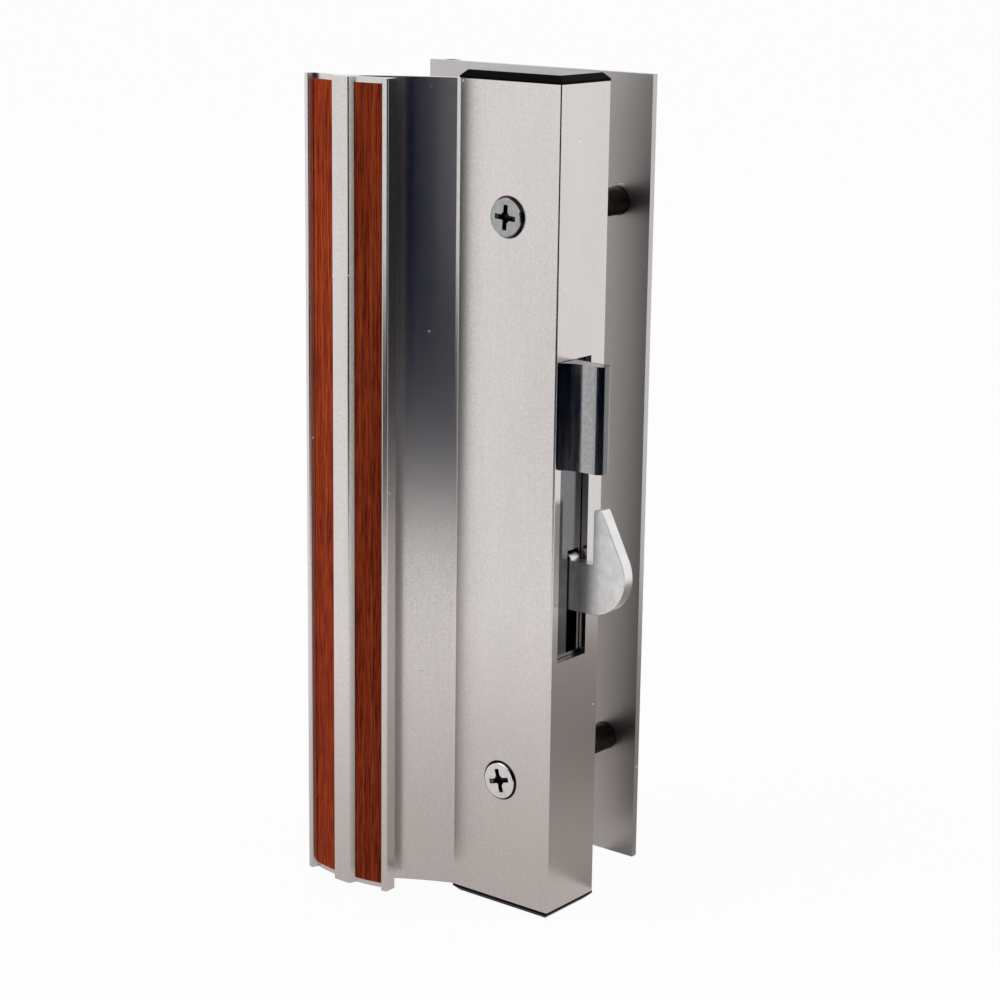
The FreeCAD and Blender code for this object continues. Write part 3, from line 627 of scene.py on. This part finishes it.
class HANDLE_OT_screws(bpy.types.Operator):
    """Make the two mounting screws with cross recess and thread"""

    bl_idname = "handle.screws"
    bl_label = "Mounting Screws"

    def execute(self, context):
        sizes = context.scene.handle_sizes
        colours = context.scene.handle_colours
        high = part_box("mounting_screws")[1]
        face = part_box("top_end_cap")[0].y
        spacing = frame["record"]["mounts"][0]["dims"]["spacing_y_mm"] * MM
        head, crown, shank = sizes.screw_head, sizes.screw_crown, sizes.screw_shank
        taper = (head - shank) * HEAD_TAPER
        end = high.y - face
        shaft = [(shank, taper)]
        depth = taper
        while depth + sizes.thread_pitch < end - shank * TIP_LENGTH:
            shaft.append((shank - sizes.thread_depth, depth + sizes.thread_pitch / 2))
            shaft.append((shank, depth + sizes.thread_pitch))
            depth += sizes.thread_pitch
        shaft += [(shank * TIP_WIDTH, end), (0.0, end)]
        for name, height, turn, rise, tone in (
                ("upper_screw", spacing / 2, sizes.upper_turn, sizes.upper_rise, colours.screw),
                ("lower_screw", -spacing / 2, sizes.lower_turn, sizes.lower_rise, colours.lower_screw)):
            profile = [(0.0, -rise), (crown, -rise), (head, 0.0)]
            screw = turned(name, profile + shaft, (0.0, face, height), SCREW_STEPS)
            top = (0.0, face - rise, height)
            for quarter in (0.0, math.pi / 2):
                cut_with(screw, recess_arm(top, sizes, turn + quarter))
            cut_with(screw, recess_well(top, sizes))
            round_edges(screw, sizes.screw_edge, 2, SCREW_SHARP)
            # Where the painted shade goes: down in the recess and round the side of the head.
            painted_shade = (crown * PAINTED_SHADE_REACH, crown + PAINTED_SHADE_EDGE, spacing / 2, top[1] + PAINTED_SHADE_TOP,
                     top[1] + PAINTED_SHADE_FLOOR)
            plating = plated(name + "_plating", tone, scaled(tone, 0.8), 0.12, 0.22, 420.0, painted_shade)
            dress(screw, plating, "handle", "screw_plating", "mounting_screws")
        return {"FINISHED"}


class HANDLE_OT_clamp(bpy.types.Operator):
    """Make the clamp plate and finish its threaded posts"""

    bl_idname = "handle.clamp"
    bl_label = "Clamp Plate"

    def execute(self, context):
        colours = context.scene.handle_colours
        plate = rounded_copy("clamp_plate", "outside_plate", context.scene.handle_sizes.plate_edge, 3)
        satin = anodised("plate_aluminium", colours.plate, colours.plate_grain, colours.plate_roughness, 0.7)
        dress(plate, satin, "handle", "plate_aluminium", "clamp_plate")
        near_black = plated("near_black_steel", colours.post, scaled(colours.post, 0.6), 0.30, 0.42, 500.0)
        wear("clamp_posts", near_black)
        return {"FINISHED"}


class HANDLE_OT_slide(bpy.types.Operator):
    """Make the thumb slide with its tab"""

    bl_idname = "handle.slide"
    bl_label = "Thumb Slide"

    def execute(self, context):
        colours = context.scene.handle_colours
        sizes = context.scene.handle_sizes
        slide = rounded_copy("thumb_slide", "thumb_tab", sizes.slide_edge)
        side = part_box("top_end_cap")[1].x
        low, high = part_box("thumb_slide")
        reach = high.x - side
        # The tab's lighter patch is rubbing wear and a painted highlight.
        rubbed = (colours.slide_rub_and_highlight, side + reach * sizes.rub_and_highlight_start, side + reach * sizes.rub_and_highlight_end,
                  low.y + sizes.rub_and_highlight_depth, MM)
        plating = plated("slide_plating", colours.slide, scaled(colours.slide, 0.82), 0.11, 0.16, 700.0,
                         rubbed=rubbed, grit=0.2)
        dress(slide, plating, "slide", "slide_plating", "thumb_slide")
        return {"FINISHED"}


class HANDLE_OT_hook(bpy.types.Operator):
    """Make the latch hook"""

    bl_idname = "handle.hook"
    bl_label = "Latch Hook"

    def execute(self, context):
        colours = context.scene.handle_colours
        hook = rounded_copy("latch_hook", "zinc_hook", context.scene.handle_sizes.hook_edge)
        zinc = plated("bright_zinc", colours.zinc, colours.zinc_shade, 0.28, 0.36, 420.0)
        dress(hook, zinc, "hook", "zinc", "latch_hook")
        return {"FINISHED"}


class HANDLE_OT_works(bpy.types.Operator):
    """Finish the case, pivot, washer, clip and spring inside"""

    bl_idname = "handle.works"
    bl_label = "Latch Works"

    def execute(self, context):
        colours = context.scene.handle_colours
        folded = plated("case_steel", colours.case, scaled(colours.case, 0.72), 0.36, 0.50, 180.0)
        wear("latch_case", folded)
        bright = plated("turned_steel", colours.screw, scaled(colours.screw, 0.7), 0.22, 0.34, 400.0)
        for node in ("hook_pivot_pin", "hook_washer"):
            wear(node, bright)
        dark = plated("spring_steel", colours.wire, scaled(colours.wire, 0.7), 0.25, 0.40, 600.0)
        for node in ("hook_retaining_clip", "hook_spring"):
            wear(node, dark)
        return {"FINISHED"}


def camera_rays(tree):
    """1 for rays from the camera or off gloss and glass, else 0."""
    path = tree.nodes.new("ShaderNodeLightPath")
    total = path.outputs["Is Camera Ray"]
    for name in ("Is Glossy Ray", "Is Transmission Ray"):
        added = tree.nodes.new("ShaderNodeMath")
        added.operation = "MAXIMUM"
        tree.links.new(total, added.inputs[0])
        tree.links.new(path.outputs[name], added.inputs[1])
        total = added.outputs["Value"]
    return total


# Stage measures in metres, and sweeps of cards as start and turn in degrees from the front.
FLOOR_SIZE = 40.0
FLOOR_GAP = 0.2 * MM
# Distances from the handle where the painted floor shadow fades out and where it is full.
FLOOR_SHADOW_RANGE = (0.26, 0.09)
KEY_PLACE = (-0.7, -0.9, 1.3)
KEY_SIZE = 1.1
FILL_PLACE = (1.3, 0.2, 0.5)
FILL_SIZE = 0.9
CARD_RADIUS = 0.36
CARD_STEPS = 24
FRONT_SWEEP = (4.0, 84.0)
FRONT_TOP = 0.25
LOW_SWEEP = (-28.0, 32.0)
LOW_TOP = -0.01
RIGHT_SWEEP = (100.0, 80.0)
RIGHT_RADII = (0.01, 0.24)
SHADE_RANGE = (0.093, 0.140)


def floor_finish(settings):
    """Pale floor that stays near white to the camera and keeps a soft shadow; in reflections it has a
    painted shadow, darker close to the handle.
    """
    finish = Finish("pale_floor")
    finish.set(Base_Color=(*settings.floor_colour, 1.0), Roughness=0.8, Specular_IOR_Level=0.1)
    gloss = finish.add("ShaderNodeLightPath").outputs["Is Glossy Ray"]
    # Painted shadow in reflections of the floor, darker close to the handle.
    near = finish.combine("MULTIPLY", finish.between(finish.distance(), *FLOOR_SHADOW_RANGE), gloss)
    white = finish.add("ShaderNodeEmission")
    finish.feed(white.inputs["Color"], finish.blend(near, (1.0, 1.0, 1.0), settings.painted_floor_shadow))
    mix = finish.add("ShaderNodeMixShader")
    share = finish.combine("MULTIPLY", camera_rays(finish.tree), settings.floor_white)
    finish.feed(mix.inputs["Fac"], share)
    finish.feed(mix.inputs[1], finish.surface.outputs["BSDF"])
    finish.feed(mix.inputs[2], white.outputs["Emission"])
    finish.feed(finish.tree.nodes["Material Output"].inputs["Surface"], mix.outputs["Shader"])
    return finish.material


def card_finish(name, tone, inner):
    """Matt card, of one colour or graded from an inner colour near the handle."""
    finish = Finish(name)
    base = (*tone, 1.0)
    if inner:
        base = finish.blend(finish.between(finish.distance(), *SHADE_RANGE), inner, tone)
    finish.set(Base_Color=base, Roughness=0.9, Specular_IOR_Level=0.0)
    return finish.material


def lamp(name, place, size, power):
    """A soft square lamp that faces the handle."""
    data = bpy.data.lights.new(name, "AREA")
    data.shape = "SQUARE"
    data.size = size
    data.energy = power
    lamp_object = bpy.data.objects.new(name, data)
    bpy.context.scene.collection.objects.link(lamp_object)
    lamp_object.location = place
    lamp_object.rotation_euler = (-Vector(place)).to_track_quat("-Z", "Y").to_euler()


class HANDLE_OT_stage(bpy.types.Operator):
    """Set up the floor, lamps, world and camera"""

    bl_idname = "handle.stage"
    bl_label = "Studio"

    def execute(self, context):
        scene = context.scene
        settings = scene.handle_studio
        scene.view_settings.view_transform = "Standard"
        ground = CAD_BOX[0][2] - FLOOR_GAP
        bpy.ops.object.select_all(action="DESELECT")
        bpy.ops.mesh.primitive_plane_add(size=FLOOR_SIZE, location=(0.0, 0.0, ground))
        floor = context.object
        floor.name = "floor"
        settle(floor)
        floor.data.materials.append(floor_finish(settings))
        foot = (CARD_RADIUS, ground)
        self.card("front_card", settings.card_colour, FRONT_SWEEP, foot, (CARD_RADIUS, FRONT_TOP))
        self.card("low_card", settings.card_colour, LOW_SWEEP, foot, (CARD_RADIUS, LOW_TOP))
        inside, outside = ((radius, ground + MM) for radius in RIGHT_RADII)
        self.card("right_card", settings.shade_colour, RIGHT_SWEEP, inside, outside, settings.shade_inner)
        self.world(scene, settings)
        lamp("key_lamp", KEY_PLACE, KEY_SIZE, settings.key_power)
        lamp("fill_lamp", FILL_PLACE, FILL_SIZE, settings.fill_power)
        data = bpy.data.cameras.new("photo_camera")
        data.lens = settings.camera_lens
        data.sensor_width = 36.0
        data.clip_start = 0.01
        data.dof.use_dof = False
        camera = bpy.data.objects.new("photo_camera", data)
        scene.collection.objects.link(camera)
        turn = Matrix.Rotation(settings.camera_azimuth, 4, "Z")
        tilt = Matrix.Rotation(math.pi / 2 - settings.camera_tilt, 4, "X")
        roll = Matrix.Rotation(settings.camera_roll, 4, "Z")
        camera.matrix_world = Matrix.Translation(settings.camera_place) @ turn @ tilt @ roll
        scene.camera = camera
        return {"FINISHED"}

    def card(self, name, tone, sweep, low, high, inner=None):
        """A card swept round the handle between two (radius, height) points, seen only in reflections."""
        start, turn = (math.radians(value) for value in sweep)
        reach = high[0] - low[0]
        card = point(name, (low[0] * math.sin(start), -low[0] * math.cos(start), low[1]))
        step = (reach * math.sin(start), -reach * math.cos(start), high[1] - low[1])
        bpy.ops.mesh.extrude_vertices_move(TRANSFORM_OT_translate={"value": step})
        bpy.ops.mesh.select_all(action="SELECT")
        bpy.ops.mesh.spin(steps=CARD_STEPS, angle=-turn, center=(0.0, 0.0, 0.0), axis=(0.0, 0.0, 1.0))
        leave()
        settle(card)
        card.data.materials.append(card_finish(name, tone, inner))
        card.visible_camera = False
        card.visible_diffuse = False
        card.visible_shadow = False
        card.visible_transmission = False

    def world(self, scene, settings):
        world = bpy.data.worlds.new("studio")
        scene.world = world
        world.use_nodes = True
        tree = world.node_tree
        background = tree.nodes["Background"]
        background.inputs["Color"].default_value = (1.0, 1.0, 1.0, 1.0)
        strength = tree.nodes.new("ShaderNodeMapRange")
        tree.links.new(camera_rays(tree), strength.inputs["Value"])
        strength.inputs["To Min"].default_value = settings.world_light
        strength.inputs["To Max"].default_value = settings.world_white
        tree.links.new(strength.outputs["Result"], background.inputs["Strength"])


PIECES = (HANDLE_OT_housing, HANDLE_OT_strips, HANDLE_OT_caps, HANDLE_OT_screws, HANDLE_OT_clamp,
          HANDLE_OT_slide, HANDLE_OT_hook, HANDLE_OT_works, HANDLE_OT_stage)


class HANDLE_PT_panel(bpy.types.Panel):
    """Lists the handle's pieces and settings"""

    bl_idname = "HANDLE_PT_panel"
    bl_label = "Door Handle"
    bl_space_type = "VIEW_3D"
    bl_region_type = "UI"
    bl_category = "Door Handle"

    def draw(self, context):
        for piece in PIECES:
            self.layout.operator(piece.bl_idname)
        for group in (context.scene.handle_colours, context.scene.handle_sizes, context.scene.handle_studio):
            box = self.layout.box()
            for key in group.__annotations__:
                box.prop(group, key)


CLASSES = (HandleColours, HandleSizes, StudioSettings, *PIECES, HANDLE_PT_panel)


def register():
    for item in CLASSES:
        bpy.utils.register_class(item)
    bpy.types.Scene.handle_colours = bpy.props.PointerProperty(type=HandleColours)
    bpy.types.Scene.handle_sizes = bpy.props.PointerProperty(type=HandleSizes)
    bpy.types.Scene.handle_studio = bpy.props.PointerProperty(type=StudioSettings)


def unregister():
    del bpy.types.Scene.handle_studio
    del bpy.types.Scene.handle_sizes
    del bpy.types.Scene.handle_colours
    for item in reversed(CLASSES):
        bpy.utils.unregister_class(item)


def main():
    register()
    bpy.ops.handle.housing()
    bpy.ops.handle.strips()
    bpy.ops.handle.caps()
    bpy.ops.handle.screws()
    bpy.ops.handle.clamp()
    bpy.ops.handle.slide()
    bpy.ops.handle.hook()
    bpy.ops.handle.works()
    bpy.ops.handle.stage()


if __name__ == "__main__":
    main()
